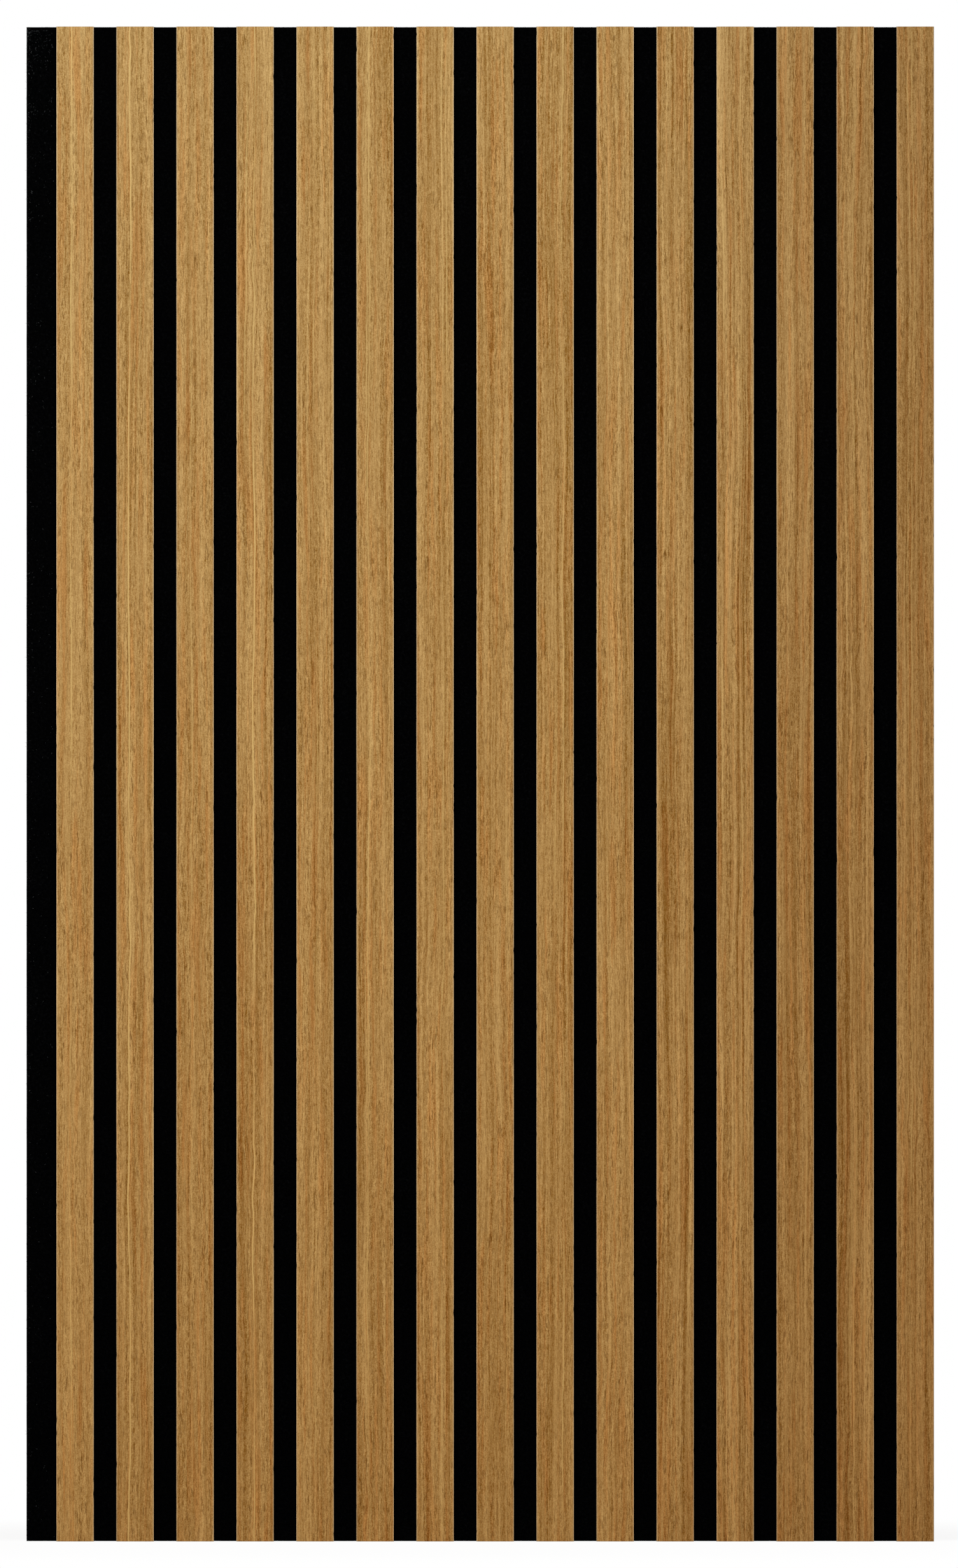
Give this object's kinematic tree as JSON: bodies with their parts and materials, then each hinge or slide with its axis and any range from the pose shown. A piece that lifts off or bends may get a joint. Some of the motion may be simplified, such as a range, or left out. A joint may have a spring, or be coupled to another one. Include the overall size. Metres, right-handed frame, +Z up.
{
  "type": "acoustic panel",
  "caption": "Flat acoustic wall panel: upright oak-veneered slats with black cores, stapled in a row to a black felt board that shows between them and along one side.",
  "frame": {"origin": "middle of the felt's back face, which lies on the wall", "axes": "+X across the slats towards the flush side, +Z up along the slats, +Y into the wall; the veneers face -Y"},
  "size_m": [0.605, 0.021, 1.01],
  "materials": {
    "black_felt": "needled felt board, matt",
    "black_fibreboard": "black-dyed fibreboard, sawn",
    "oak_veneer": "straight-grained oak veneer, matt lacquer",
    "staple_wire": "galvanised flat wire"
  },
  "bodies": {
    "root": {"felt_backing": "black_felt", "slat_core_01": "black_fibreboard", "slat_core_02": "black_fibreboard", "slat_core_03": "black_fibreboard", "slat_core_04": "black_fibreboard", "slat_core_05": "black_fibreboard", "slat_core_06": "black_fibreboard", "slat_core_07": "black_fibreboard", "slat_core_08": "black_fibreboard", "slat_core_09": "black_fibreboard", "slat_core_10": "black_fibreboard", "slat_core_11": "black_fibreboard", "slat_core_12": "black_fibreboard", "slat_core_13": "black_fibreboard", "slat_core_14": "black_fibreboard", "slat_core_15": "black_fibreboard", "veneer_face_01": "oak_veneer", "veneer_face_02": "oak_veneer", "veneer_face_03": "oak_veneer", "veneer_face_04": "oak_veneer", "veneer_face_05": "oak_veneer", "veneer_face_06": "oak_veneer", "veneer_face_07": "oak_veneer", "veneer_face_08": "oak_veneer", "veneer_face_09": "oak_veneer", "veneer_face_10": "oak_veneer", "veneer_face_11": "oak_veneer", "veneer_face_12": "oak_veneer", "veneer_face_13": "oak_veneer", "veneer_face_14": "oak_veneer", "veneer_face_15": "oak_veneer", "staples": "staple_wire"}
  },
  "joints": []
}
